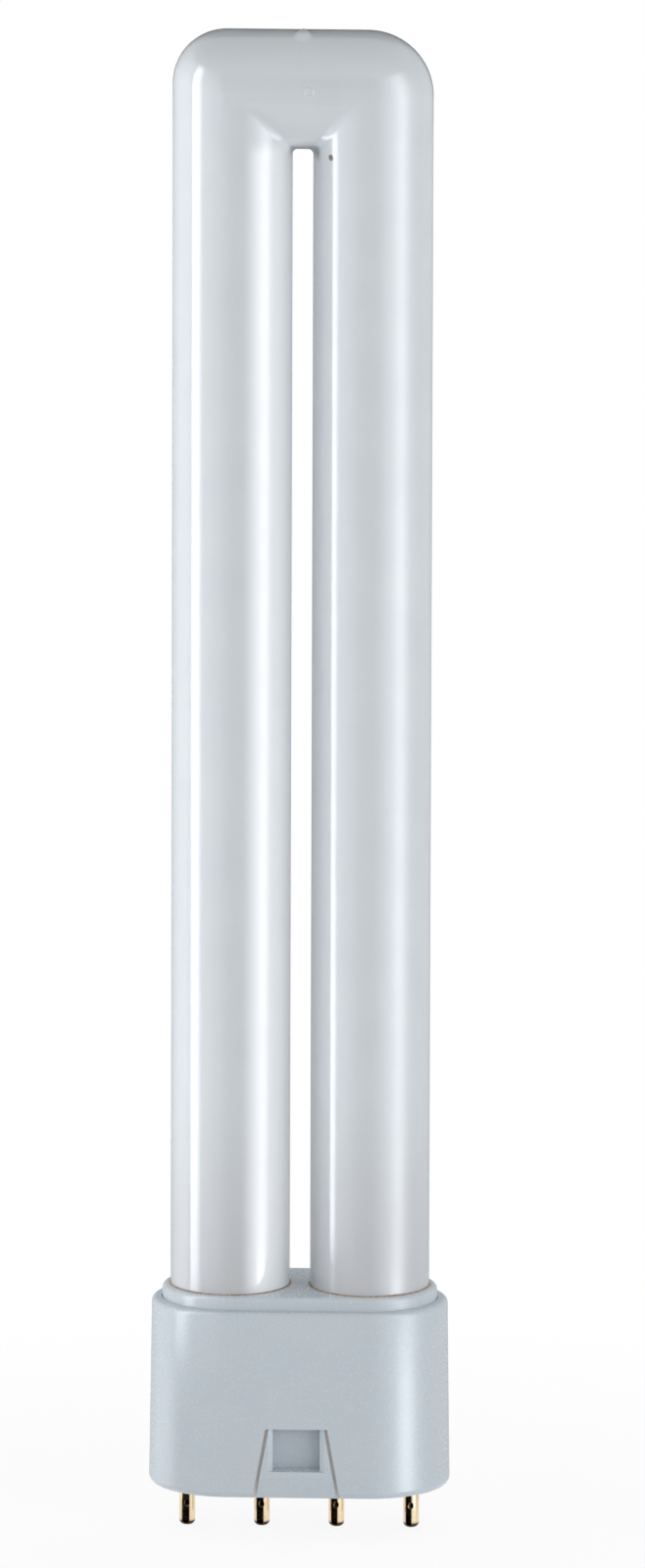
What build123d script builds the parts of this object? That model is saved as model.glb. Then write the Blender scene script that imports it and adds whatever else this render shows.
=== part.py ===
"""Four-pin plug-in fluorescent lamp: a sealed twin-leg glass tube cemented into a moulded cap.

Millimetres. The origin is the centre of the cap's seating face, +Z runs up to the bend of the glass,
X runs along the row of pins and the front latch window faces -Y.
"""

import os
from math import cos, radians, sin, tan

from build123d import *

# Discharge tube
tube_diameter = 17.5
leg_gap = 3.0  # clear space between the two legs
lamp_height = 217.0  # seating face to the top of the glass
right_corner_extra = 0.85  # how much wider the right corner is blown than the tube's own radius
leg_end_height = 13.0  # where the legs end inside the cap
leg_end_rounding = 3.0
exhaust_stub_diameter = 4.2
exhaust_stub_length = 4.0
mould_pip_diameter = 2.6  # small raised mark where the mould closed at the top of the bend
mould_pip_height = 0.35

# Tube holder, the upper part of the cap
cement_gap = 0.25
holder_end_wall = 0.95  # beside the bores, at the ends of the row
holder_front_wall = 1.15  # beside the bores, at the front and back
holder_rib = 1.0  # walls left round the pockets cored from below
holder_height = 11.5
holder_top_plate = 2.2
holder_core_start = 4.0  # half of the solid web between the two bores
collar_height = 2.0  # how far the holder stands out of the shell
collar_rounding = 0.8
cement_height = 8.0
cement_bead = 0.15  # how far the cement creeps up the glass above the holder

# Cap shell, the lower part of the cap
shell_height = 27.9
shell_rim_wall = 1.45
shell_draft = 0.8  # degrees
holder_clearance = 0.1
holder_ledge = 0.8
shell_floor = 2.2
shell_base_rounding = 1.0
shell_rim_rounding = 0.8

# Latch window, the same at the front and back
window_width = 6.9
window_height = 6.4
window_sill = 4.1  # seating face to the window's lower edge
window_depth = 3.0
window_flare = 0.75  # how far each upright side opens towards the face
window_wall = 1.2
tongue_top_margin = 0.1  # the side grooves start this far outside the flared window
tongue_spread = 2.1  # how far each side groove leans out on its way down
groove_width = 0.5
groove_depth = 0.55
ramp_depth = 0.6
ramp_height = 3.4

# Contact pins
pin_count = 4
pin_pitch = 11.0
pin_diameter = 2.35
pin_length = 6.8
pin_tip_rounding = 0.8
pin_bore_diameter = 1.4
pin_tip_hole_diameter = 0.7
pin_tip_wall = 1.0
pin_shank_diameter = 2.8
pin_head_diameter = 3.8
pin_head_thickness = 0.45
pin_dent_radius = 0.9
pin_dent_depth = 0.16
pin_dent_height = 3.4  # pin tip to the middle of the crimp dent
boss_diameter = 4.8
boss_height = 2.4

# Lead wires
wire_diameter = 0.6
wire_exit_offset = 3.0  # from the middle of the leg's end
wire_straight = 1.6
wire_bend_radius = 1.5
wire_drop_above_pin = 1.9

# Worked out from the sizes above
tube_radius = tube_diameter / 2
leg_x = (tube_diameter + leg_gap) / 2
bridge_axis_height = lamp_height - tube_radius
bore_radius = tube_radius + cement_gap
holder_width = 2 * (leg_x + bore_radius + holder_end_wall)
holder_thickness = 2 * (bore_radius + holder_front_wall)
holder_top = shell_height + collar_height
holder_bottom = holder_top - holder_height
seat_width = holder_width + 2 * holder_clearance
seat_thickness = holder_thickness + 2 * holder_clearance
draft_growth = 2 * shell_height * tan(radians(shell_draft))
shell_width = seat_width + 2 * shell_rim_wall + draft_growth
shell_thickness = seat_thickness + 2 * shell_rim_wall + draft_growth
boss_top = shell_floor + boss_height
pin_radius = pin_diameter / 2
pin_places = [((index - (pin_count - 1) / 2) * pin_pitch, 0) for index in range(pin_count)]
tongue_half_top = window_width / 2 + window_flare + tongue_top_margin
tongue_half_base = tongue_half_top + tongue_spread
window_top = window_sill + window_height

os.makedirs("parts", exist_ok=True)


# Sealed glass discharge tube, two legs joined by a squared bend
def corner_radius(side):
    """Outer radius of the bend at the left (-1) or right (1) corner."""
    return tube_radius + (right_corner_extra if side > 0 else 0)


with BuildPart() as discharge_tube:
    for side in (-1, 1):
        pivot_x = side * (leg_x + tube_radius - corner_radius(side))
        pivot_z = lamp_height - corner_radius(side)
        with BuildSketch(Plane.XY.offset(leg_end_height)):
            with Locations((side * leg_x, 0)):
                Circle(tube_radius)
        extrude(amount=pivot_z - leg_end_height)
        with BuildSketch(Plane.YZ):
            with Locations((0, bridge_axis_height)):
                Circle(tube_radius)
        extrude(amount=pivot_x)
        with BuildSketch(Plane.XY.offset(pivot_z)):
            with Locations((side * leg_x, 0)):
                Circle(tube_radius)
            with Locations((pivot_x - side * tube_diameter, 0)):
                Rectangle(2 * tube_diameter, 2 * tube_diameter, mode=Mode.SUBTRACT)
        revolve(axis=Axis((pivot_x, 0, pivot_z), (0, side, 0)), revolution_arc=-90)
    leg_ends = edges().filter_by(GeomType.CIRCLE).group_by(Axis.Z)[0]
    fillet(leg_ends, radius=leg_end_rounding)
    stub_radius = exhaust_stub_diameter / 2
    with BuildSketch(Plane.XY.offset(leg_end_height)):
        with Locations((-leg_x, 0), (leg_x, 0)):
            Circle(stub_radius)
    extrude(amount=-exhaust_stub_length)
    stub_tips = edges().filter_by(GeomType.CIRCLE).group_by(Axis.Z)[0]
    fillet(stub_tips, radius=0.8 * stub_radius)
    with BuildSketch(Plane.XY.offset(lamp_height - tube_radius / 2)):
        Circle(mould_pip_diameter / 2)
    extrude(amount=tube_radius / 2 + mould_pip_height)
    pip_rim = edges().filter_by(GeomType.CIRCLE).sort_by(Axis.Z)[-1]
    fillet(pip_rim, radius=0.9 * mould_pip_height)
discharge_tube.part.label = "discharge_tube"


# Cap shell: an open box with a floor for the pins and a latch window at the front and back
def face_plane(side):
    """Plane on the drafted broad face at the front (-1) or back (1), with its local Y up the face."""
    slope = radians(shell_draft)
    return Plane(
        origin=(0, side * shell_thickness / 2, 0),
        x_dir=(-side, 0, 0),
        z_dir=(0, side * cos(slope), sin(slope)),
    )


def tongue_outline(bottom, top, inset=0.0):
    """Corners of the tongue between two heights, inset from the middle of its side grooves."""
    lean = tongue_spread / window_top
    low = tongue_half_base - lean * bottom - inset
    high = tongue_half_base - lean * top - inset
    return [(-low, bottom), (low, bottom), (high, top), (-high, top)]


def ramp_cutter(side):
    """Wedge that thins the tongue towards the seating face, so that a spring latch can ride over it."""
    with BuildPart() as wedge:
        with BuildSketch(face_plane(side)):
            Polygon(*tongue_outline(-1, ramp_height, groove_width / 2), align=None)
        extrude(amount=-2 * ramp_depth)
        with BuildSketch(Plane.YZ):
            outer = side * (shell_thickness / 2 + 1)
            face = side * shell_thickness / 2
            deep = side * (shell_thickness / 2 - ramp_depth)
            Polygon((outer, -1), (outer, ramp_height), (face, ramp_height), (deep, 0), (deep, -1), align=None)
        extrude(amount=tongue_half_base + 1, both=True, mode=Mode.INTERSECT)
    return wedge.part


with BuildPart() as cap_shell:
    with BuildSketch():
        SlotOverall(shell_width, shell_thickness)
    extrude(amount=shell_height, taper=shell_draft)
    fillet(faces().sort_by(Axis.Z)[0].edges(), radius=shell_base_rounding)
    fillet(faces().sort_by(Axis.Z)[-1].edges(), radius=shell_rim_rounding)
    with BuildSketch(Plane.XY.offset(holder_bottom)):
        SlotOverall(seat_width, seat_thickness)
    extrude(amount=shell_height - holder_bottom, mode=Mode.SUBTRACT)
    with BuildSketch(Plane.XY.offset(shell_floor)):
        SlotOverall(seat_width - 2 * holder_ledge, seat_thickness - 2 * holder_ledge)
    extrude(amount=holder_bottom - shell_floor, mode=Mode.SUBTRACT)
    with BuildSketch(Plane.XY.offset(shell_floor)):
        with Locations(*pin_places):
            Circle(boss_diameter / 2)
    extrude(amount=boss_height)
    for side in (-1, 1):
        face_y = side * shell_thickness / 2
        wall_middle = face_y - side * shell_rim_wall
        floor_y = face_y - side * window_depth
        block_y = floor_y - side * window_wall
        mouth_y = face_y - side * window_flare
        block_half = window_width / 2 + window_wall
        half = window_width / 2
        flared = half + window_flare
        with BuildSketch(Plane.XY.offset(shell_floor)):
            Polygon(
                (-block_half, block_y), (block_half, block_y),
                (block_half, wall_middle), (-block_half, wall_middle),
                align=None,
            )
        extrude(amount=window_top + window_wall - shell_floor)
        with BuildSketch(Plane.XY.offset(window_sill)):
            Polygon(
                (-half, floor_y), (half, floor_y), (half, mouth_y),
                (flared, face_y), (flared, face_y + side), (-flared, face_y + side),
                (-flared, face_y), (-half, mouth_y),
                align=None,
            )
        extrude(amount=window_height, mode=Mode.SUBTRACT)
        with BuildSketch(face_plane(side)):
            for hand in (-1, 1):
                outer_top = hand * (tongue_half_top + groove_width / 2)
                inner_top = hand * (tongue_half_top - groove_width / 2)
                outer_base = hand * (tongue_half_base + groove_width / 2)
                inner_base = hand * (tongue_half_base - groove_width / 2)
                Polygon(
                    (inner_base, -1), (outer_base, -1), (outer_top, window_top), (inner_top, window_top),
                    align=None,
                )
        extrude(amount=-groove_depth, mode=Mode.SUBTRACT)
        add(ramp_cutter(side), mode=Mode.SUBTRACT)
    with Locations(Plane.XY.offset(boss_top)):
        with Locations(*pin_places):
            Hole(radius=pin_shank_diameter / 2, depth=boss_top)
cap_shell.part.label = "cap_shell"

# Tube holder: the block that closes the shell and carries the two glass legs
with BuildPart() as tube_holder:
    with BuildSketch(Plane.XY.offset(holder_bottom)):
        SlotOverall(holder_width, holder_thickness)
    extrude(amount=holder_height)
    fillet(faces().sort_by(Axis.Z)[-1].edges(), radius=collar_rounding)
    with BuildSketch(Plane.XY.offset(holder_bottom)):
        with Locations((-leg_x, 0), (leg_x, 0)):
            Circle(bore_radius)
    extrude(amount=holder_height, mode=Mode.SUBTRACT)
    with BuildSketch(Plane.XY.offset(holder_bottom)):
        SlotOverall(holder_width - 2 * holder_rib, holder_thickness - 2 * holder_rib)
        with Locations((-leg_x, 0), (leg_x, 0)):
            Circle(bore_radius + holder_rib, mode=Mode.SUBTRACT)
        Rectangle(2 * leg_x, 2 * holder_core_start, mode=Mode.SUBTRACT)
    extrude(amount=holder_height - holder_top_plate, mode=Mode.SUBTRACT)
tube_holder.part.label = "tube_holder"


# Basing cement between each leg and its bore, with a small bead on top
def cement_ring(side):
    """Cement round the left (-1) or right (1) leg."""
    low = holder_top - cement_height
    with BuildPart() as ring:
        with BuildSketch(Plane.XZ):
            with Locations((side * leg_x, 0)):
                Polygon(
                    (tube_radius, low), (bore_radius, low),
                    (bore_radius, holder_top), (tube_radius, holder_top + cement_bead),
                    align=None,
                )
        revolve(axis=Axis((side * leg_x, 0, 0), (0, 0, 1)))
    return ring.part


cement_rings = {"cement_ring_left": cement_ring(-1), "cement_ring_right": cement_ring(1)}


# Contact pins: hollow, headed above the boss, rounded at the tip and crimped on the lead wire
def contact_pin(place):
    """One pin, with its shoulder flush with the seating face."""
    shank_radius = pin_shank_diameter / 2
    head_top = boss_top + pin_head_thickness
    wire_bore_radius = pin_bore_diameter / 2
    bore_floor = pin_tip_wall - pin_length
    with BuildPart() as pin:
        with BuildSketch(Plane.XY.offset(-pin_length)):
            with Locations(place):
                Circle(pin_radius)
        extrude(amount=pin_length)
        fillet(faces().sort_by(Axis.Z)[0].edges(), radius=pin_tip_rounding)
        with BuildSketch():
            with Locations(place):
                Circle(shank_radius)
        extrude(amount=boss_top)
        with BuildSketch(Plane.XY.offset(boss_top)):
            with Locations(place):
                Circle(pin_head_diameter / 2)
        extrude(amount=pin_head_thickness)
        with BuildSketch(Plane.XY.offset(head_top)):
            with Locations(place):
                Circle(wire_bore_radius)
        extrude(amount=bore_floor - head_top, mode=Mode.SUBTRACT)
        with BuildSketch(Plane.XY.offset(bore_floor)):
            with Locations(place):
                Circle(pin_tip_hole_diameter / 2)
        extrude(amount=-pin_tip_wall, mode=Mode.SUBTRACT)
        dent_reach = pin_radius + pin_dent_radius - pin_dent_depth
        dent_height = pin_dent_height - pin_length
        with Locations((place[0], -dent_reach, dent_height), (place[0], dent_reach, dent_height)):
            Sphere(pin_dent_radius, mode=Mode.SUBTRACT)
    return pin.part


contact_pins = {
    f"contact_pin_{number}": contact_pin(place) for number, place in enumerate(pin_places, start=1)
}


# Lead wires: out of the glass, across to the pin and down its bore to the tip
def lead_wire(place):
    """The wire of one pin. Each leg feeds the pins on its own side of the cap."""
    side = 1 if place[0] > 0 else -1
    hand = 1 if place[0] > side * leg_x else -1
    exit_x = side * leg_x + hand * wire_exit_offset
    pin_top = boss_top + pin_head_thickness
    with BuildPart() as wire:
        with BuildLine():
            route = FilletPolyline(
                (exit_x, 0, leg_end_height),
                (exit_x, 0, leg_end_height - wire_straight),
                (place[0], 0, pin_top + wire_drop_above_pin),
                (place[0], 0, -pin_length),
                radius=wire_bend_radius,
            )
        with BuildSketch(Plane(origin=route @ 0, x_dir=(1, 0, 0), z_dir=route % 0)):
            Circle(wire_diameter / 2)
        sweep()
    return wire.part


lead_wires = {
    f"lead_wire_{number}": lead_wire(place) for number, place in enumerate(pin_places, start=1)
}

export_step(discharge_tube.part, "parts/discharge_tube.step")
export_step(cap_shell.part, "parts/cap_shell.step")
export_step(tube_holder.part, "parts/tube_holder.step")
for label, solid in {**cement_rings, **contact_pins, **lead_wires}.items():
    solid.label = label
    export_step(solid, f"parts/{label}.step")
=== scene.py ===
"""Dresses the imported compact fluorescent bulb: its glass tube, cap, cement, pins and lead wires.

Metres throughout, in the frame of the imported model: the origin is the centre of the cap's seating
face, +Z runs up to the bend of the glass and the front latch window faces -Y.
"""

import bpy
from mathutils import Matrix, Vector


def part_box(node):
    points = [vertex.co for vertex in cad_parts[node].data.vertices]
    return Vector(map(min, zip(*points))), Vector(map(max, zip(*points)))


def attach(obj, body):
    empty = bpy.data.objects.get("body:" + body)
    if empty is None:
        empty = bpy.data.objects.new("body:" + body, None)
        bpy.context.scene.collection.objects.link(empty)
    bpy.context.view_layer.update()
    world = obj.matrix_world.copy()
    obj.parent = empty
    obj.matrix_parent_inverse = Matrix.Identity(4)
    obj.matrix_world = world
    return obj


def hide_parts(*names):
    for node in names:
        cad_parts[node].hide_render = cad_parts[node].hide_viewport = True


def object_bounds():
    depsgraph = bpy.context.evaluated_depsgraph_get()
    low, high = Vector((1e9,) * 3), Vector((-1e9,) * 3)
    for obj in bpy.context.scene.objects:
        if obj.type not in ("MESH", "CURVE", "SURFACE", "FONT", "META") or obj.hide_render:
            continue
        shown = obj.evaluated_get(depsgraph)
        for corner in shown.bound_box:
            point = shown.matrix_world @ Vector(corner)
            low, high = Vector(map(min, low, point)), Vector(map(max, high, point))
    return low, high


bl_info = {
    "name": "Compact fluorescent bulb",
    "version": (1, 0, 0),
    "blender": (4, 5, 0),
    "location": "3D Viewport > Sidebar > Bulb",
    "description": "Builds the glass of a plug-in fluorescent bulb, finishes its cap and lights it",
    "category": "Object",
}

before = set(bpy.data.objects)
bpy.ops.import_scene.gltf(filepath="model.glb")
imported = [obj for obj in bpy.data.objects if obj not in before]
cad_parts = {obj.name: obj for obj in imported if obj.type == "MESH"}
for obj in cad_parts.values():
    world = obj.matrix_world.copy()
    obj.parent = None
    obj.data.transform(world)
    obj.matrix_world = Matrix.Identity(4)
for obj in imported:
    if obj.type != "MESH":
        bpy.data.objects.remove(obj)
cad_low, cad_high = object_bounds()

import math

import bmesh
import bpy
from bpy.props import FloatProperty, FloatVectorProperty, IntProperty, PointerProperty
from mathutils import Matrix, Vector

MM = 0.001
WELD = 0.002 * MM  # points closer than this are one point
BODY = "root"
PINS = sorted(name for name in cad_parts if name.startswith("contact_pin"))
WIRES = sorted(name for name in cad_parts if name.startswith("lead_wire"))
CEMENT_RINGS = sorted(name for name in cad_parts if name.startswith("cement_ring"))
glass_low, glass_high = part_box("discharge_tube")
holder_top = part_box("tube_holder")[1].z
cap_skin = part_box("cap_shell")[1].y  # the drafted face's farthest point from the middle plane
pin_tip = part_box(PINS[0])[0].z

# Places on the glass.
DARKENED = 34 * MM  # how far the darker glass reaches up from the cap
FILL_LIGHT_MIDDLE = -3.5 * MM  # X of the middle of the painted fill light in the left leg
CROTCH_SHADE_MIDDLE = 0.4 * MM  # X of the middle of the painted shade over the gap
SPECK = (4.3 * MM, -6.45 * MM, 199.35 * MM)
VENT = (1.2 * MM, -8.67 * MM, 209.4 * MM)
VENT_RADIUS = 0.6 * MM

# The seam over the bridge and its knob.
SEAM_LOOPS = (-1.6, -1.2, -0.8, -0.4, -0.15, 0, 0.15, 0.4, 0.8, 1.2, 1.6)  # mm from the middle
SEAM_REACH = 0.1 * MM
KNOB_REACH = 2 * MM
KNOB_LEAN = math.radians(14)  # the knob sits a little in front of the top

# The cap's grooves start this far off the middle at the base, and lean in by a fifth of the height.
GROOVE_FOOT = 6.4 * MM
GROOVE_LEAN = 0.2

# The contact pins.
PIN_RADIUS = 1.175 * MM
PIN_PITCH = 11 * MM

# The studio.
WHITE = "#FFFFFF"
SENSOR_WIDTH = 36  # millimetres
CLIP_START, CLIP_END = 0.1, 20
LAMPS = (  # name, degrees to the right of the front, and the setting that holds the power
    ("left_softbox", -75, "left_lamp"),
    ("right_softbox", 45, "right_lamp"),
    ("left_back_softbox", -140, "back_lamp"),
    ("right_back_softbox", 140, "back_lamp"),
)
LAMP_DISTANCE = 0.7
LAMP_SIZE = 0.5
FLOOR_HALF = 4  # from the middle of the floor to its edge
FLOOR_DROP = 0.02 * MM  # from the pins' tips down to the floor
TENT_DROP = 400 * MM  # the tent's wall goes this far below the tips, past what the gloss sees
TENT_RISE = 70 * MM
TENT_SIDES = 180
TENT_LIGHT = "#F6FAFF"


def linear(hex_colour):
    """An sRGB hex colour as linear red, green, blue and an alpha of one."""
    shares = [int(hex_colour[i : i + 2], 16) / 255 for i in (1, 3, 5)]
    return [s / 12.92 if s <= 0.04045 else ((s + 0.055) / 1.055) ** 2.4 for s in shares] + [1.0]


def length(name, description, default):
    """A property that holds a length in metres."""
    return FloatProperty(
        name=name, description=description, default=default, unit="LENGTH", precision=5
    )


def angle(name, description, degrees):
    """A property that holds an angle."""
    return FloatProperty(
        name=name, description=description, default=math.radians(degrees), subtype="ANGLE"
    )


def share(name, description, default):
    """A property that holds a plain number."""
    return FloatProperty(name=name, description=description, default=default, min=0)


def colour(name, description, hex_colour):
    """A property that holds a surface colour."""
    return FloatVectorProperty(
        name=name,
        description=description,
        default=linear(hex_colour),
        size=4,
        subtype="COLOR",
        min=0,
        max=1,
    )


class TubeSettings(bpy.types.PropertyGroup):
    """Sizes of the glass tube."""

    diameter: length("Tube diameter", "Outer diameter of each leg", glass_high.y - glass_low.y)
    top: length("Top of the glass", "Seating face to the top of the bend", 217 * MM)
    left_corner: length("Left corner", "Outer radius of the bend at the left", 7.9 * MM)
    right_corner: length("Right corner", "Outer radius of the bend at the right", 9.6 * MM)
    crotch: length("Crotch softness", "Set-back of the melted inner edge of each corner", 0.8 * MM)
    pinch: share("Crotch pinch", "How much more steeply the creases rise than a plain mitre", 0.3)
    end_height: length("End height", "Where the legs end inside the cap", 13 * MM)
    end_rounding: length("End rounding", "Radius at the closed ends inside the cap", 3 * MM)
    stub_diameter: length("Stub diameter", "Exhaust stub at each closed end", 4.2 * MM)
    stub_length: length("Stub length", "Length of each exhaust stub", 4 * MM)
    knob_width: length("Fusing knob width", "Swelling where the two halves were fused", 2.7 * MM)
    knob_length: length("Fusing knob length", "Length of that swelling over the bend", 4.2 * MM)
    knob_height: length("Fusing knob height", "How far it stands out of the glass", 0.5 * MM)
    seam_height: length("Seam height", "How far the fused seam stands out", 0.09 * MM)
    segments: IntProperty(
        name="Segments", description="Sides of the round section", default=128, min=24
    )
    bend_steps: IntProperty(
        name="Bend steps", description="Steps in half of each corner", default=14, min=4
    )


class FinishSettings(bpy.types.PropertyGroup):
    """Colours of the bulb's materials."""

    phosphor: colour("Phosphor", "Powder coating seen through the glass", "#D3D8DB")
    phosphor_shade: colour("Thin phosphor", "Coating where it is thinner", "#CBD1D6")
    # Painted fill light: the left leg's inner side is painted paler in place of light that fills
    # the gap.
    phosphor_painted_fill: colour("Phosphor painted paler as fill light", "Coating down the left leg's inner side", "#EBEEF1")
    # The glass is coloured greyer towards the cap.
    end_darkening: colour("End darkening", "Glass towards the cap", "#C2C4C8")
    # Painted shade: the glass over the gap's top is painted darker.
    crotch_painted_shade: colour("Crotch painted shade", "Glass painted darker over the gap as shade", "#8F9396")
    speck: colour("Speck", "Scorched speck at the inner bend", "#5C4A38")
    moulding: colour("Cap plastic", "Light grey moulding", "#C3CBD2")
    moulding_shade: colour("Cap plastic shade", "The moulding in its cooler patches", "#C1CAD1")
    groove_dirt: colour("Groove dirt", "Dust held in the fine grooves", "#D3CBC4")
    brass: colour("Brass", "Contact pins", "#EBD0AC")
    brass_tip: colour("Pin tip", "Darkened metal at the tip and in the punch marks", "#4A3A22")
    cement: colour("Cement", "Basing cement", "#B3A28C")
    cement_shade: colour("Cement shade", "Basing cement in its darker grains", "#8C7860")
    wire: colour("Lead wire", "Plated wire", "#B9B7B0")
    wire_shade: colour("Lead wire shade", "Plated wire where it is stained", "#8B8984")


class StageSettings(bpy.types.PropertyGroup):
    """Camera and studio."""

    azimuth: angle("Camera azimuth", "Turn to the right of the front", 2.3)
    elevation: angle("Camera elevation", "Height above the horizon", 12)
    roll: angle("Camera roll", "Tilt of the picture", 0.175)
    lens: share("Lens", "Focal length in millimetres", 560)
    picture_height: length("Picture height", "Height of the frame at the bulb", 229.6 * MM)
    aim_side: length("Aim sideways", "Centre of the frame from the bulb's axis", 3.11 * MM)
    aim_height: length("Aim height", "Centre of the frame above the seating face", 104.9 * MM)
    floor: colour("Floor", "Floor and background", WHITE)
    ambient: share("Ambient light", "Strength of the light from all sides", 0.585)
    overhead: share("Overhead share", "Ambient light from above against that at the sides", 1.0)
    left_lamp: share("Left lamp", "Power of the soft light at the left, in watts", 2.0)
    right_lamp: share("Right lamp", "Power of the soft light at the right, in watts", 2.0)
    back_lamp: share("Back lamps", "Power of each soft light at the back, in watts", 1.4)
    tent_radius: length("Tent radius", "Distance of the reflected panels from the axis", 65 * MM)


def add_node(tree, kind, sockets=None, **settings):
    """Add a shader node.

    Each socket, by name or place, gets a value, an output, or a node's first output.
    """
    made = tree.nodes.new("ShaderNode" + kind)
    for name, value in settings.items():
        setattr(made, name, value)
    for name, value in (sockets or {}).items():
        if isinstance(value, bpy.types.Node):
            value = value.outputs[0]
        if isinstance(value, bpy.types.NodeSocket):
            tree.links.new(value, made.inputs[name])
        else:
            made.inputs[name].default_value = value
    return made


# Map Range takes its value at 0, the range that it comes from at 1 and 2, and the one that it goes
# to at 3 and 4, which is nought to one where they aren't given. Mix takes its share at 0, two plain
# numbers at 2 and 3 or two colours at 6 and 7, and gives the mixed colour at 2.
SMOOTH = {"interpolation_type": "SMOOTHSTEP"}
COLOURS = {"data_type": "RGBA"}


def new_material(name):
    """An empty node material, its tree, and the object coordinates."""
    material = bpy.data.materials.new(name)
    material.use_nodes = True
    tree = material.node_tree
    tree.nodes.clear()
    return material, tree, add_node(tree, "TexCoord").outputs["Object"]


def coated_glass(finish, tube):
    """Drawn soda-lime glass over a white phosphor powder.

    The eye gets a chalky pale body with a soft sheen under a clear, hard gloss with long sharp
    highlights, a little waviness from drawing, more of it at the bend that was blown by hand, and
    glass that turns greyer towards the cap.
    """
    material, tree, place = new_material("soda_lime_glass_drawn_over_phosphor")
    axes = add_node(tree, "SeparateXYZ", {0: place}).outputs
    patches = add_node(tree, "TexNoise", {"Vector": place, "Scale": 1 / (7 * MM), "Detail": 3.0})
    powder = {0: patches, 6: finish.phosphor[:], 7: finish.phosphor_shade[:]}
    body = add_node(tree, "Mix", powder, **COLOURS).outputs[2]
    # The glass is coloured greyer towards the cap.
    by_cap = {0: axes["Z"], 1: holder_top + DARKENED, 2: holder_top}
    darkened = add_node(tree, "MapRange", by_cap, **SMOOTH)
    by_cap = {0: darkened, 6: body, 7: finish.end_darkening[:]}
    body = add_node(tree, "Mix", by_cap, **COLOURS).outputs[2]

    # Painted fill light: the inner side of the left leg, which faces the gap, is painted paler in
    # place of the light that fills the gap between the legs.
    gap_top = tube.top - tube.diameter
    aside = add_node(tree, "Math", {0: axes["X"], 1: FILL_LIGHT_MIDDLE}, operation="SUBTRACT")
    aside = add_node(tree, "Math", {0: aside}, operation="ABSOLUTE")
    painted_fill = add_node(tree, "MapRange", {0: aside, 1: 5 * MM, 2: 2.2 * MM}, **SMOOTH)
    under_bend = {0: axes["Z"], 1: gap_top + 3 * MM, 2: gap_top, 4: painted_fill}
    painted_fill = add_node(tree, "MapRange", under_bend, **SMOOTH)
    fill_light_mix = {0: painted_fill, 6: body, 7: finish.phosphor_painted_fill[:]}
    body = add_node(tree, "Mix", fill_light_mix, **COLOURS).outputs[2]

    # Painted shade: the glass round the gap's top, under the bridge, is painted darker.
    over_gap = {0: axes["Z"], 1: gap_top + 1.5 * MM, 2: gap_top + 0.5 * MM}
    crotch_shade = add_node(tree, "MapRange", over_gap, **SMOOTH)
    aside = add_node(tree, "Math", {0: axes["X"], 1: CROTCH_SHADE_MIDDLE}, operation="SUBTRACT")
    aside = add_node(tree, "Math", {0: aside}, operation="ABSOLUTE")
    beside_gap = {0: aside, 1: 2.5 * MM, 2: 1.8 * MM, 4: crotch_shade}
    crotch_shade = add_node(tree, "MapRange", beside_gap, **SMOOTH)
    down_gap = {0: axes["Z"], 1: gap_top - 1.5 * MM, 2: gap_top, 4: crotch_shade}
    crotch_shade = add_node(tree, "MapRange", down_gap, **SMOOTH)
    stain_and_shade = {0: crotch_shade, 6: body, 7: finish.crotch_painted_shade[:]}
    body = add_node(tree, "Mix", stain_and_shade, **COLOURS).outputs[2]

    # A scorched speck, 1 mm across, at the right inner bend.
    off = add_node(tree, "VectorMath", {0: place, 1: SPECK}, operation="DISTANCE").outputs["Value"]
    scorched = add_node(tree, "MapRange", {0: off, 1: 0.6 * MM, 2: 0.35 * MM}, **SMOOTH)
    speck = {0: scorched, 6: body, 7: finish.speck[:]}
    body = add_node(tree, "Mix", speck, **COLOURS).outputs[2]

    # Drawing marks run along the legs, so the noise is stretched twentyfold that way. The bend was
    # blown by hand, so it has wider dents as well.
    along = add_node(tree, "Mapping", {"Vector": place, "Scale": (1, 1, 0.05)})
    drawn = add_node(tree, "TexNoise", {"Vector": along, "Scale": 1 / (3.5 * MM), "Detail": 1.0})
    dents = add_node(tree, "TexNoise", {"Vector": place, "Scale": 1 / (6 * MM), "Detail": 1.0})
    bend = {0: axes["Z"], 1: tube.top - 24 * MM, 2: tube.top - 12 * MM, 4: 2.5}
    dented = add_node(tree, "MapRange", bend, **SMOOTH)
    waves = add_node(tree, "Math", {0: dents, 1: dented, 2: drawn}, operation="MULTIPLY_ADD")

    # The mould's vent left a ring 1.2 mm across at the front of the bend.
    off = add_node(tree, "VectorMath", {0: place, 1: VENT}, operation="DISTANCE").outputs["Value"]
    off = add_node(tree, "Math", {0: off, 1: VENT_RADIUS}, operation="SUBTRACT")
    off = add_node(tree, "Math", {0: off}, operation="ABSOLUTE")
    ring = add_node(tree, "MapRange", {0: off, 1: 0.0, 2: 0.2 * MM, 3: 12.0, 4: 0.0}, **SMOOTH)
    relief = add_node(tree, "Math", {0: waves, 1: ring}, operation="ADD")
    bump = add_node(tree, "Bump", {"Strength": 1.0, "Distance": 0.006 * MM, "Height": relief})

    chalk = add_node(tree, "TexNoise", {"Vector": place, "Scale": 1 / (5 * MM)})
    chalky = add_node(tree, "MapRange", {0: chalk, 1: 0.3, 2: 0.7, 3: 0.36, 4: 0.46}, **SMOOTH)
    surface = {
        "Base Color": body,
        "Roughness": chalky,
        "IOR": 1.5,
        "Coat Weight": 1.0,
        "Coat Roughness": 0.04,
        "Coat IOR": 1.52,
        "Normal": bump,
        "Coat Normal": bump,
    }
    add_node(tree, "OutputMaterial", {"Surface": add_node(tree, "BsdfPrincipled", surface)})
    return material


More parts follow.
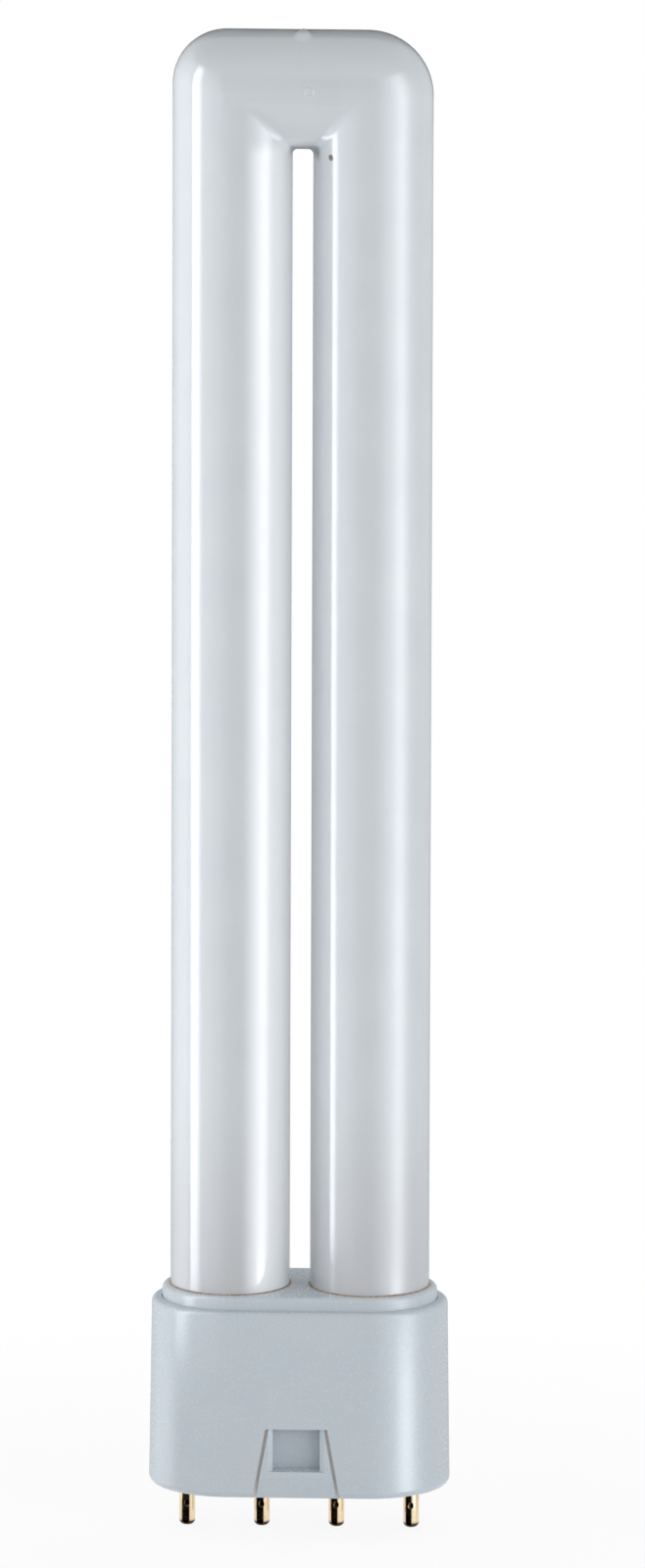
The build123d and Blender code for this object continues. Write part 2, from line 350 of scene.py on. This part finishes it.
def moulded_plastic(finish):
    """Glass-filled PBT, injection moulded in a spark-eroded tool.

    The eye gets a satin light grey with a fine even grain, faint cloudy patches where the filling
    comes near the surface, and a trace of dust in the narrow grooves beside each latch window.
    """
    material, tree, place = new_material("pbt_moulded_spark_eroded")
    axes = add_node(tree, "SeparateXYZ", {0: place}).outputs
    filling = add_node(tree, "TexNoise", {"Vector": place, "Scale": 1 / (5 * MM), "Detail": 3.0})
    clouds = add_node(tree, "MapRange", {0: filling, 1: 0.35, 2: 0.65}, **SMOOTH)
    cloudy = {0: clouds, 6: finish.moulding[:], 7: finish.moulding_shade[:]}
    body = add_node(tree, "Mix", cloudy, **COLOURS).outputs[2]

    # The grooves come in to 4.3 mm off the middle at the window's top, 10.5 mm up, and end there.
    aside = add_node(tree, "Math", {0: axes["X"]}, operation="ABSOLUTE")
    leaning = {0: axes["Z"], 1: GROOVE_LEAN, 2: aside}
    off_line = add_node(tree, "Math", leaning, operation="MULTIPLY_ADD")
    off_line = add_node(tree, "Math", {0: off_line, 1: GROOVE_FOOT}, operation="SUBTRACT")
    off_line = add_node(tree, "Math", {0: off_line}, operation="ABSOLUTE")
    dusty = add_node(tree, "MapRange", {0: off_line, 1: 0.27 * MM, 2: 0.2 * MM}, **SMOOTH)
    below_top = {0: axes["Z"], 1: 10.8 * MM, 2: 10.4 * MM, 4: dusty}
    dusty = add_node(tree, "MapRange", below_top, **SMOOTH)
    # Only what lies under the skin is dusty.
    depth = add_node(tree, "Math", {0: axes["Y"]}, operation="ABSOLUTE")
    under_skin = {0: depth, 1: cap_skin - 0.25 * MM, 2: cap_skin - 0.4 * MM, 4: dusty}
    dusty = add_node(tree, "MapRange", under_skin, **SMOOTH)
    dust = {0: dusty, 6: body, 7: finish.groove_dirt[:]}
    body = add_node(tree, "Mix", dust, **COLOURS).outputs[2]

    # The real grain is near 0.05 mm. It is drawn 0.3 mm wide, the least that still shows.
    grain = add_node(tree, "TexNoise", {"Vector": place, "Scale": 1 / (0.3 * MM)})
    satin = add_node(tree, "MapRange", {0: grain, 1: 0.3, 2: 0.7, 3: 0.2, 4: 0.29}, **SMOOTH)
    bump = add_node(tree, "Bump", {"Strength": 0.6, "Distance": 0.01 * MM, "Height": grain})
    surface = {"Base Color": body, "Roughness": satin, "IOR": 1.55, "Normal": bump}
    add_node(tree, "OutputMaterial", {"Surface": add_node(tree, "BsdfPrincipled", surface)})
    return material


def drawn_brass(finish):
    """Brass tube, drawn, cut and crimped.

    The eye gets a bright pale yellow metal with fine lines round the pin from turning, and a dull
    dark rim where the tip was closed on the wire.
    """
    material, tree, place = new_material("brass_drawn_and_crimped")
    axes = add_node(tree, "SeparateXYZ", {0: place}).outputs
    tarnish = add_node(tree, "TexNoise", {"Vector": place, "Scale": 1 / (1.2 * MM), "Detail": 3.0})
    stain_and_shade = add_node(tree, "MapRange", {0: tarnish, 1: 0.5, 2: 0.85, 4: 0.3}, **SMOOTH)
    tarnished = {0: stain_and_shade, 6: finish.brass[:], 7: finish.brass_tip[:]}
    metal = add_node(tree, "Mix", tarnished, **COLOURS).outputs[2]
    tip = {0: axes["Z"], 1: pin_tip + 1.1 * MM, 2: pin_tip + 0.35 * MM}
    at_tip = add_node(tree, "MapRange", tip, **SMOOTH)
    darkened = {0: at_tip, 6: metal, 7: finish.brass_tip[:]}
    metal = add_node(tree, "Mix", darkened, **COLOURS).outputs[2]

    # The punch marks that hold the wire keep their dirt: whatever lies under a pin's skin is dark.
    # The pins stand in a row, so X is wrapped into one pitch, with the pin in its middle.
    beside = add_node(tree, "Math", {0: axes["X"], 1: PIN_PITCH, 2: 0.0}, operation="WRAP")
    beside = add_node(tree, "Math", {0: beside, 1: PIN_PITCH / 2}, operation="SUBTRACT")
    spoke = add_node(tree, "CombineXYZ", {"X": beside, "Y": axes["Y"]})
    from_axis = add_node(tree, "VectorMath", {0: spoke}, operation="LENGTH").outputs["Value"]
    under_skin = {0: from_axis, 1: PIN_RADIUS - 0.003 * MM, 2: PIN_RADIUS - 0.02 * MM}
    dirty = add_node(tree, "MapRange", under_skin, **SMOOTH)
    marked = {0: dirty, 6: metal, 7: finish.brass_tip[:]}
    metal = add_node(tree, "Mix", marked, **COLOURS).outputs[2]

    # Turning marks go round the pin, so the noise is stretched twentyfold sideways.
    around = add_node(tree, "Mapping", {"Vector": place, "Scale": (0.05, 0.05, 1)})
    turned = add_node(tree, "TexNoise", {"Vector": around, "Scale": 1 / (0.25 * MM)})
    bump = add_node(tree, "Bump", {"Strength": 0.3, "Distance": 0.001 * MM, "Height": turned})
    dull = add_node(tree, "MapRange", {0: tarnish, 1: 0.3, 2: 0.8, 3: 0.09, 4: 0.2}, **SMOOTH)
    surface = {"Base Color": metal, "Metallic": 1.0, "Roughness": dull, "Normal": bump}
    add_node(tree, "OutputMaterial", {"Surface": add_node(tree, "BsdfPrincipled", surface)})
    return material


def basing_cement(finish):
    """Baked mineral basing cement.

    The eye gets a dull tan line with coarse grains of marble flour and no gloss.
    """
    material, tree, place = new_material("basing_cement_baked")
    flour = {"Vector": place, "Scale": 1 / (0.5 * MM), "Detail": 4.0, "Roughness": 0.65}
    grains = add_node(tree, "TexNoise", flour)
    coarse = add_node(tree, "MapRange", {0: grains, 1: 0.35, 2: 0.65}, **SMOOTH)
    speckled = {0: coarse, 6: finish.cement[:], 7: finish.cement_shade[:]}
    body = add_node(tree, "Mix", speckled, **COLOURS).outputs[2]
    matt = add_node(tree, "MapRange", {0: grains, 1: 0.3, 2: 0.7, 3: 0.82, 4: 0.95}, **SMOOTH)
    bump = add_node(tree, "Bump", {"Strength": 1.0, "Distance": 0.06 * MM, "Height": grains})
    surface = {"Base Color": body, "Roughness": matt, "IOR": 1.5, "Normal": bump}
    add_node(tree, "OutputMaterial", {"Surface": add_node(tree, "BsdfPrincipled", surface)})
    return material


def plated_wire(finish):
    """Nickel-plated copper wire, drawn.

    The eye gets a grey metal thread with a soft gloss and lines along it.
    """
    material, tree, place = new_material("copper_wire_nickel_plated")
    stain = add_node(tree, "TexNoise", {"Vector": place, "Scale": 1 / (0.8 * MM), "Detail": 3.0})
    stain_and_shade = add_node(tree, "MapRange", {0: stain, 1: 0.5, 2: 0.8, 4: 0.5}, **SMOOTH)
    patchy = {0: stain_and_shade, 6: finish.wire[:], 7: finish.wire_shade[:]}
    metal = add_node(tree, "Mix", patchy, **COLOURS).outputs[2]
    # Drawing lines run along the wire, so the noise is stretched twelvefold that way.
    along = add_node(tree, "Mapping", {"Vector": place, "Scale": (1, 1, 0.08)})
    drawn = add_node(tree, "TexNoise", {"Vector": along, "Scale": 1 / (0.2 * MM), "Detail": 1.0})
    bump = add_node(tree, "Bump", {"Strength": 0.5, "Distance": 0.004 * MM, "Height": drawn})
    dull = add_node(tree, "MapRange", {0: stain, 1: 0.3, 2: 0.8, 3: 0.26, 4: 0.42}, **SMOOTH)
    surface = {"Base Color": metal, "Metallic": 1.0, "Roughness": dull, "Normal": bump}
    add_node(tree, "OutputMaterial", {"Surface": add_node(tree, "BsdfPrincipled", surface)})
    return material


def new_piece(name, bm, material):
    """An object at the origin with that mesh and material, shaded smooth."""
    mesh = bpy.data.meshes.new(name)
    bm.to_mesh(mesh)
    bm.free()
    mesh.materials.append(material)
    for face in mesh.polygons:
        face.use_smooth = True
    piece = bpy.data.objects.new(name, mesh)
    bpy.context.scene.collection.objects.link(piece)
    return piece


def finish_nodes(names, material):
    """Give CAD nodes their material. Their shape is right, so they stay."""
    for name in names:
        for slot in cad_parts[name].material_slots:
            slot.material = material


def flatten(bm, verts, height):
    """Bring points straight up or down to one height."""
    bmesh.ops.scale(bm, vec=(1, 1, 0), space=Matrix.Translation((0, 0, -height)), verts=verts)


def points_of(geometry):
    """The points among the parts that an operator returns."""
    return [part for part in geometry if isinstance(part, bmesh.types.BMVert)]


def round_edges(bm, edges, setback, segments, **options):
    """Round edges over."""
    bmesh.ops.bevel(
        bm,
        geom=edges,
        offset=setback,
        offset_type="OFFSET",
        affect="EDGES",
        segments=segments,
        profile=0.5,
        material=-1,
        **options,
    )


def centre_lines(tube):
    """The tube's radius, the legs' axes off the middle, and the height of the bridge's axis."""
    radius = tube.diameter / 2
    return radius, glass_high.x - radius, tube.top - radius


def add_corner(bm, tube, corner_radius):
    """One corner of the bend, from below the crotch round to the middle of the bridge, at +X."""
    radius, leg_x, bridge_z = centre_lines(tube)
    # The corner turns about a pivot, which lies on a side of the round section: in from the leg's
    # axis where the corner is wider than the tube's own radius, and out from it where tighter.
    side_turn = 2 * math.pi / tube.segments
    sides = round(math.asin((corner_radius - radius) / radius) / side_turn)
    inward = radius * math.sin(sides * side_turn)
    pivot = Vector((leg_x - inward, 0, bridge_z - inward))
    at_pivot = Matrix.Translation(-pivot)

    section = bmesh.ops.create_circle(
        bm,
        segments=tube.segments,
        radius=radius,
        matrix=Matrix.Translation((leg_x, 0, pivot.z)),
    )["verts"]
    rim = list({edge for vert in section for edge in vert.link_edges})
    outer = [edge for edge in rim if min(vert.co.x for vert in edge.verts) > pivot.x - WELD]
    inner = [vert for vert in section if vert.co.x < pivot.x - WELD]
    # The mitre plane cuts the inner side, so each point drops as far as it lies in from the pivot.
    mitre = Matrix.Identity(4)
    mitre[2][0] = 1
    bmesh.ops.transform(bm, matrix=mitre, space=at_pivot, verts=inner)
    outer_points = list({vert for edge in outer for vert in edge.verts})
    bmesh.ops.spin(
        bm,
        geom=outer + outer_points,
        cent=pivot,
        axis=(0, 1, 0),
        angle=-math.pi / 4,
        steps=tube.bend_steps,
    )
    stretched = bmesh.ops.extrude_edge_only(bm, edges=rim)["geom"]
    flatten(bm, points_of(stretched), bridge_z - leg_x)

    # The bridge's half of the corner is the leg's half with its two directions exchanged.
    whole = [part for part in (*bm.verts, *bm.edges, *bm.faces) if not part.tag]
    copied = bmesh.ops.duplicate(bm, geom=whole)["geom"]
    exchange = Matrix(((0, 0, 1, 0), (0, 1, 0, 0), (1, 0, 0, 0), (0, 0, 0, 1)))
    bmesh.ops.transform(bm, matrix=exchange, space=at_pivot, verts=points_of(copied))


def melt_creases(bm, tube):
    """Pinch the inner edges of the mitres and melt them round, less so to front and back."""
    radius, leg_x, bridge_z = centre_lines(tube)

    def on_mitre(vert):
        off_plane = abs(abs(vert.co.x) - leg_x - (vert.co.z - bridge_z))
        return off_plane < 2 * WELD and abs(vert.co.x) < leg_x

    creases = [
        edge
        for edge in bm.edges
        if len(edge.link_faces) == 2
        and all(on_mitre(vert) for vert in edge.verts)
        and edge.calc_face_angle() > math.radians(4)
    ]
    # The bend was pinched from below while it was soft, so the creases rise more steeply than a
    # mitre. The pinch fades out over the upper half of their rise.
    gap_top = bridge_z - radius
    for vert in bm.verts:
        rise = vert.co.z - gap_top
        if WELD < rise < radius and (on_mitre(vert) or abs(vert.co.x) < WELD):
            fading = min(1, max(0, (rise / radius - 0.5) / 0.5))
            vert.co.z += tube.pinch * rise * (1 - fading * fading * (3 - 2 * fading))
    round_edges(bm, creases, tube.crotch, 8, clamp_overlap=True, loop_slide=True)


def raise_seam(bm, tube):
    """Raise the fused seam over the bridge, with its knob, out of loops cut there."""
    radius, _, bridge_z = centre_lines(tube)
    for across in SEAM_LOOPS:
        upper = [face for face in bm.faces if face.calc_center_median().z > bridge_z]
        parts = {part for face in upper for part in (face, *face.edges, *face.verts)}
        bmesh.ops.bisect_plane(
            bm, geom=list(parts), dist=WELD, plane_co=(across * MM, 0, 0), plane_no=(1, 0, 0)
        )
    for vert in bm.verts:
        if abs(vert.co.x) > KNOB_REACH or vert.co.z < bridge_z:
            continue
        out = Vector((0, vert.co.y, vert.co.z - bridge_z))
        along = (math.atan2(-out.y, out.z) - KNOB_LEAN) * radius
        off = math.hypot(vert.co.x / (tube.knob_width / 2), along / (tube.knob_length / 2))
        rise = tube.knob_height * max(0, 1 - off**4) ** 2
        if abs(vert.co.x) < SEAM_REACH:
            rise = max(rise, tube.seam_height * out.z / radius)
        vert.co += out.normalized() * rise


def close_legs(bm, tube):
    """Bring the legs down into the cap, close their ends and add the exhaust stubs."""
    low_rims = [edge for edge in bm.edges if edge.is_boundary]
    legs = bmesh.ops.extrude_edge_only(bm, edges=low_rims)["geom"]
    flatten(bm, points_of(legs), tube.end_height)
    end_rims = [edge for edge in bm.edges if edge.is_boundary]
    bmesh.ops.holes_fill(bm, edges=end_rims, sides=0)
    round_edges(bm, end_rims, tube.end_rounding, 6)
    bmesh.ops.recalc_face_normals(bm, faces=bm.faces[:])
    ends = [
        face for face in bm.faces if len(face.verts) == tube.segments and face.normal.z < -0.99
    ]
    stub_radius = tube.stub_diameter / 2
    shoulder = tube.diameter / 2 - tube.end_rounding - stub_radius
    bmesh.ops.inset_individual(bm, faces=ends, thickness=shoulder, use_even_offset=True)
    stubs = bmesh.ops.extrude_discrete_faces(bm, faces=ends)["faces"]
    tips = list({vert for face in stubs for vert in face.verts})
    bmesh.ops.translate(bm, vec=(0, 0, -tube.stub_length), verts=tips)
    tip_rims = list({edge for face in stubs for edge in face.edges})
    round_edges(bm, tip_rims, 0.8 * stub_radius, 4)


def build_tube(tube):
    """The whole tube as one closed skin."""
    bm = bmesh.new()
    add_corner(bm, tube, tube.left_corner)
    bmesh.ops.scale(bm, vec=(-1, 1, 1), verts=bm.verts[:])
    for part in (*bm.verts, *bm.edges, *bm.faces):
        part.tag = True
    add_corner(bm, tube, tube.right_corner)
    bmesh.ops.remove_doubles(bm, verts=bm.verts[:], dist=WELD)
    bmesh.ops.recalc_face_normals(bm, faces=bm.faces[:])
    melt_creases(bm, tube)
    raise_seam(bm, tube)
    close_legs(bm, tube)
    bmesh.ops.remove_doubles(bm, verts=bm.verts[:], dist=WELD)
    bmesh.ops.recalc_face_normals(bm, faces=bm.faces[:])
    return bm


class BULB_OT_glass(bpy.types.Operator):
    """Build the glass tube with its squared bend in place of the plain solid"""

    bl_idname = "bulb.glass"
    bl_label = "Glass tube"

    def execute(self, context):
        scene = context.scene
        material = coated_glass(scene.bulb_finish, scene.bulb_tube)
        tube = new_piece("glass_tube", build_tube(scene.bulb_tube), material)
        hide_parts("discharge_tube")
        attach(tube, BODY)
        return {"FINISHED"}


class BULB_OT_cap(bpy.types.Operator):
    """Finish the cap shell and the tube holder"""

    bl_idname = "bulb.cap"
    bl_label = "Cap"

    def execute(self, context):
        finish_nodes(["cap_shell", "tube_holder"], moulded_plastic(context.scene.bulb_finish))
        return {"FINISHED"}


class BULB_OT_cement(bpy.types.Operator):
    """Finish the basing cement round both legs"""

    bl_idname = "bulb.cement"
    bl_label = "Cement"

    def execute(self, context):
        finish_nodes(CEMENT_RINGS, basing_cement(context.scene.bulb_finish))
        return {"FINISHED"}


class BULB_OT_pins(bpy.types.Operator):
    """Finish the four contact pins"""

    bl_idname = "bulb.pins"
    bl_label = "Contact pins"

    def execute(self, context):
        finish_nodes(PINS, drawn_brass(context.scene.bulb_finish))
        return {"FINISHED"}


class BULB_OT_wires(bpy.types.Operator):
    """Finish the four lead wires"""

    bl_idname = "bulb.wires"
    bl_label = "Lead wires"

    def execute(self, context):
        finish_nodes(WIRES, plated_wire(context.scene.bulb_finish))
        return {"FINISHED"}


def facing(way):
    """A turn that points a camera or a light that way."""
    return way.to_track_quat("-Z", "Y").to_matrix().to_4x4()


def add_camera(stage):
    """A long lens at the photograph's angle."""
    data = bpy.data.cameras.new("bulb_camera")
    data.lens = stage.lens
    data.sensor_width = SENSOR_WIDTH
    data.clip_start = CLIP_START
    data.clip_end = CLIP_END
    camera = bpy.data.objects.new("bulb_camera", data)
    bpy.context.scene.collection.objects.link(camera)
    turn, rise = stage.azimuth, stage.elevation
    back = Vector(
        (math.sin(turn) * math.cos(rise), -math.cos(turn) * math.cos(rise), math.sin(rise))
    )
    # The frame is taller than wide, so the sensor's width runs up the picture.
    distance = stage.picture_height * stage.lens / SENSOR_WIDTH
    place = Vector((stage.aim_side, 0, stage.aim_height)) + back * distance
    roll = Matrix.Rotation(stage.roll, 4, "Z")
    camera.matrix_world = Matrix.Translation(place) @ facing(-back) @ roll
    bpy.context.scene.camera = camera


def seen_rays(tree):
    """One for rays of the camera, of gloss and of glass, and nought for those that only light."""
    rays = add_node(tree, "LightPath").outputs
    seen = {0: rays["Is Camera Ray"], 1: rays["Is Glossy Ray"]}
    seen = {0: add_node(tree, "Math", seen, operation="MAXIMUM"), 1: rays["Is Transmission Ray"]}
    return add_node(tree, "Math", seen, operation="MAXIMUM")


def light_world(stage):
    """White behind everything, and a plain soft light whose share from above can be set."""
    world = bpy.data.worlds.new("studio")
    bpy.context.scene.world = world
    world.use_nodes = True
    tree = world.node_tree
    tree.nodes.clear()
    way = add_node(tree, "TexCoord").outputs["Generated"]
    up = add_node(tree, "SeparateXYZ", {0: way}).outputs["Z"]
    above = stage.ambient * stage.overhead
    height = {0: up, 1: -0.05, 2: 0.85, 3: stage.ambient, 4: above}
    level = add_node(tree, "MapRange", height, **SMOOTH)
    soft = add_node(tree, "Background", {"Color": linear(WHITE), "Strength": level})
    white = add_node(tree, "Background", {"Color": linear(WHITE), "Strength": 1.0})
    both = add_node(tree, "MixShader", {0: seen_rays(tree), 1: soft, 2: white})
    add_node(tree, "OutputWorld", {"Surface": both})


def add_lamp(name, azimuth, power):
    """A soft square light that faces the bulb. Gloss takes its highlights from the tent instead."""
    data = bpy.data.lights.new(name, "AREA")
    data.shape = "SQUARE"
    data.size = LAMP_SIZE
    data.energy = power
    lamp = bpy.data.objects.new(name, data)
    bpy.context.scene.collection.objects.link(lamp)
    turn = math.radians(azimuth)
    aim = Vector((0, 0, (cad_low.z + cad_high.z) / 2))
    place = aim + Vector((math.sin(turn), -math.cos(turn), 0)) * LAMP_DISTANCE
    lamp.matrix_world = Matrix.Translation(place) @ facing(aim - place)
    lamp.visible_glossy = False
    lamp.visible_camera = False


def stage_piece(name, bm, material):
    """A floor or light panel, which is not part of the bulb."""
    piece = new_piece(name, bm, material)
    return piece


def add_floor(stage):
    """A white floor that keeps a faint shadow and is clear from below."""
    bm = bmesh.new()
    at_tips = Matrix.Translation((0, 0, cad_low.z - FLOOR_DROP))
    bmesh.ops.create_grid(bm, x_segments=1, y_segments=1, size=FLOOR_HALF, matrix=at_tips)
    material, tree, place = new_material("paper_sweep_white")
    lit = add_node(tree, "BsdfDiffuse", {"Color": stage.floor[:]})
    glow = add_node(tree, "Emission", {"Color": stage.floor[:], "Strength": 1.0})
    # Near the bulb an eighth of the floor's own shading is kept, so its shadow stays. Farther off
    # none is.
    apart = add_node(tree, "VectorMath", {0: place}, operation="LENGTH").outputs["Value"]
    fading = {0: apart, 1: 40 * MM, 2: 160 * MM, 3: 0.88, 4: 1.0}
    shown = add_node(tree, "MapRange", fading, **SMOOTH)
    plain = add_node(tree, "Math", {0: seen_rays(tree), 1: shown}, operation="MULTIPLY")
    paper = add_node(tree, "MixShader", {0: plain, 1: lit, 2: glow})
    clear = add_node(tree, "BsdfTransparent")
    below = add_node(tree, "NewGeometry").outputs["Backfacing"]
    both = add_node(tree, "MixShader", {0: below, 1: paper, 2: clear})
    add_node(tree, "OutputMaterial", {"Surface": both})
    floor = stage_piece("floor", bm, material)
    floor.visible_glossy = False  # gloss sees the tent's wall below it instead


# What the gloss sees round the bulb: degrees from the front, positive to the right, and brightness.
# The small peaks in each side draw the fine streaks beside the broad highlights.
PANELS = (
    (-180, 0.45), (-150, 0.5), (-125, 0.8), (-112, 1.3), (-108, 1.9), (-104, 1.5), (-100, 2.2),
    (-96, 1.7), (-91, 2.6), (-87, 1.8), (-83, 2.0), (-78, 0.5), (-70, 0.1), (14, 0.1), (22, 0.3),
    (30, 0.9), (34, 1.2), (40, 1.7), (45, 2.0), (48, 3.0), (51, 2.7), (54, 4.3), (57, 3.9),
    (60, 4.7), (66, 3.7), (72, 2.3), (78, 1.0), (90, 0.5), (120, 0.6), (180, 0.45),
)
# The sharp strip at the left hangs clear of the cap, so only the legs show it.
HUNG_STRIP = (
    (-180, 0), (-79, 0), (-77.5, 7.4), (-67, 7.4), (-58.5, 1.5), (-48, 1.5), (-36, 1.2),
    (-24, 0.8), (-12, 0.2), (5, 0), (180, 0),
)
# At the cap's height its place is taken by a strip at the right, which only the cap shows.
CAP_STRIP = ((-180, 0), (44, 0), (52, 3.5), (62, 3.5), (70, 0), (180, 0))
# Below the cap a white skirt with a dark front takes over, which only the pins show.
SKIRT = ((-180, 1.0), (-88, 1.1), (-80, 0.0), (18, 0.0), (28, 1.1), (110, 1.1), (180, 1.0))


def brightness_round(tree, along, levels):
    """The brightness in each direction. Along runs from nought to one, round from the back."""
    curve = add_node(tree, "FloatCurve", {"Value": along})
    strongest = max(level for degrees, level in levels)
    points = curve.mapping.curves[0].points
    for degrees, level in levels[1:-1]:
        points.new((degrees + 180) / 360, level / strongest)
    points[0].location = (0, levels[0][1] / strongest)
    points[len(points) - 1].location = (1, levels[-1][1] / strongest)
    for point in points:
        point.handle_type = "VECTOR"
    curve.mapping.update()
    return add_node(tree, "Math", {0: curve, 1: strongest}, operation="MULTIPLY")


def softbox_panels():
    """The tent's light: panels round the sides, a skirt below, a grey ceiling and a dark back."""
    material, tree, place = new_material("softbox_panels")
    axes = add_node(tree, "SeparateXYZ", {0: place}).outputs
    front = add_node(tree, "Math", {0: axes["Y"], 1: -1.0}, operation="MULTIPLY")
    turn = add_node(tree, "Math", {0: axes["X"], 1: front}, operation="ARCTAN2")
    along = add_node(tree, "MapRange", {0: turn, 1: -math.pi, 2: math.pi})

    hung = add_node(tree, "MapRange", {0: axes["Z"], 1: 8 * MM, 2: 18 * MM}, **SMOOTH)
    cap_strip = brightness_round(tree, along, CAP_STRIP)
    hung_strip = brightness_round(tree, along, HUNG_STRIP)
    strip = add_node(tree, "Mix", {0: hung, 2: cap_strip, 3: hung_strip})
    panels = brightness_round(tree, along, PANELS)
    lit = add_node(tree, "Math", {0: strip, 1: panels}, operation="ADD")
    skirt = brightness_round(tree, along, SKIRT)
    over_skirt = {0: axes["Z"], 1: -15 * MM, 2: -12.5 * MM, 3: skirt, 4: lit}
    lit = add_node(tree, "MapRange", over_skirt, **SMOOTH)
    # Above the lamp the panels end, and a grey ceiling takes over.
    to_ceiling = {0: axes["Z"], 1: cad_high.z + 22 * MM, 2: cad_high.z + 36 * MM, 3: lit, 4: 0.8}
    lit = add_node(tree, "MapRange", to_ceiling, **SMOOTH)
    # The wall behind the bend is dark, which draws a dark line along its top.
    behind = add_node(tree, "MapRange", {0: axes["Y"], 1: 45 * MM, 2: 60 * MM}, **SMOOTH)
    upward = {0: axes["Z"], 1: cad_high.z - 28 * MM, 2: cad_high.z - 16 * MM, 3: 1.0, 4: 0.05}
    level = add_node(tree, "MapRange", upward, **SMOOTH)
    level = add_node(tree, "Mix", {0: behind, 2: 1.0, 3: level})
    level = add_node(tree, "Math", {0: level, 1: lit}, operation="MULTIPLY")
    glow = add_node(tree, "Emission", {"Color": linear(TENT_LIGHT), "Strength": level})
    add_node(tree, "OutputMaterial", {"Surface": glow})
    return material


def add_tent(stage):
    """Light panels round the bulb that only gloss sees, on a round wall with a closed top.

    The legs show a sharp strip at the left and a broad soft one at the right, and the camera's side
    is dark.
    """
    bm = bmesh.new()
    low = cad_low.z - TENT_DROP
    high = cad_high.z + TENT_RISE
    at_foot = Matrix.Translation((0, 0, low))
    bmesh.ops.create_circle(bm, segments=TENT_SIDES, radius=stage.tent_radius, matrix=at_foot)
    walls = bmesh.ops.extrude_edge_only(bm, edges=bm.edges[:])["geom"]
    flatten(bm, points_of(walls), high)
    top_rim = [edge for edge in bm.edges if min(vert.co.z for vert in edge.verts) > high - WELD]
    bmesh.ops.holes_fill(bm, edges=top_rim, sides=0)
    bmesh.ops.recalc_face_normals(bm, faces=bm.faces[:])
    tent = stage_piece("gloss_tent", bm, softbox_panels())
    tent.visible_camera = False
    tent.visible_diffuse = False
    tent.visible_transmission = False
    tent.visible_shadow = False


class BULB_OT_stage(bpy.types.Operator):
    """Set the camera, the white floor and the soft light"""

    bl_idname = "bulb.stage"
    bl_label = "Stage"

    def execute(self, context):
        stage = context.scene.bulb_stage
        add_camera(stage)
        light_world(stage)
        for name, azimuth, power in LAMPS:
            add_lamp(name, azimuth, getattr(stage, power))
        add_floor(stage)
        add_tent(stage)
        context.scene.view_settings.view_transform = "Standard"
        return {"FINISHED"}


class BULB_PT_panel(bpy.types.Panel):
    """Buttons and settings of the bulb"""

    bl_idname = "BULB_PT_panel"
    bl_label = "Compact fluorescent bulb"
    bl_space_type = "VIEW_3D"
    bl_region_type = "UI"
    bl_category = "Bulb"

    def draw(self, context):
        scene = context.scene
        for title, settings in (
            ("Glass tube", scene.bulb_tube),
            ("Finishes", scene.bulb_finish),
            ("Stage", scene.bulb_stage),
        ):
            box = self.layout.box()
            box.label(text=title)
            for name in settings.__annotations__:
                box.prop(settings, name)
        for operator in OPERATORS:
            self.layout.operator(operator.bl_idname)


OPERATORS = (
    BULB_OT_glass,
    BULB_OT_cap,
    BULB_OT_cement,
    BULB_OT_pins,
    BULB_OT_wires,
    BULB_OT_stage,
)
CLASSES = (TubeSettings, FinishSettings, StageSettings, *OPERATORS, BULB_PT_panel)


def register():
    """Add the settings, the operators and the panel."""
    for cls in CLASSES:
        bpy.utils.register_class(cls)
    bpy.types.Scene.bulb_tube = PointerProperty(type=TubeSettings)
    bpy.types.Scene.bulb_finish = PointerProperty(type=FinishSettings)
    bpy.types.Scene.bulb_stage = PointerProperty(type=StageSettings)


def unregister():
    """Take them away again."""
    del bpy.types.Scene.bulb_tube, bpy.types.Scene.bulb_finish, bpy.types.Scene.bulb_stage
    for cls in reversed(CLASSES):
        bpy.utils.unregister_class(cls)


def main():
    """Build everything in order."""
    register()
    bpy.ops.bulb.glass()
    bpy.ops.bulb.cap()
    bpy.ops.bulb.cement()
    bpy.ops.bulb.pins()
    bpy.ops.bulb.wires()
    bpy.ops.bulb.stage()


if __name__ == "__main__":
    main()
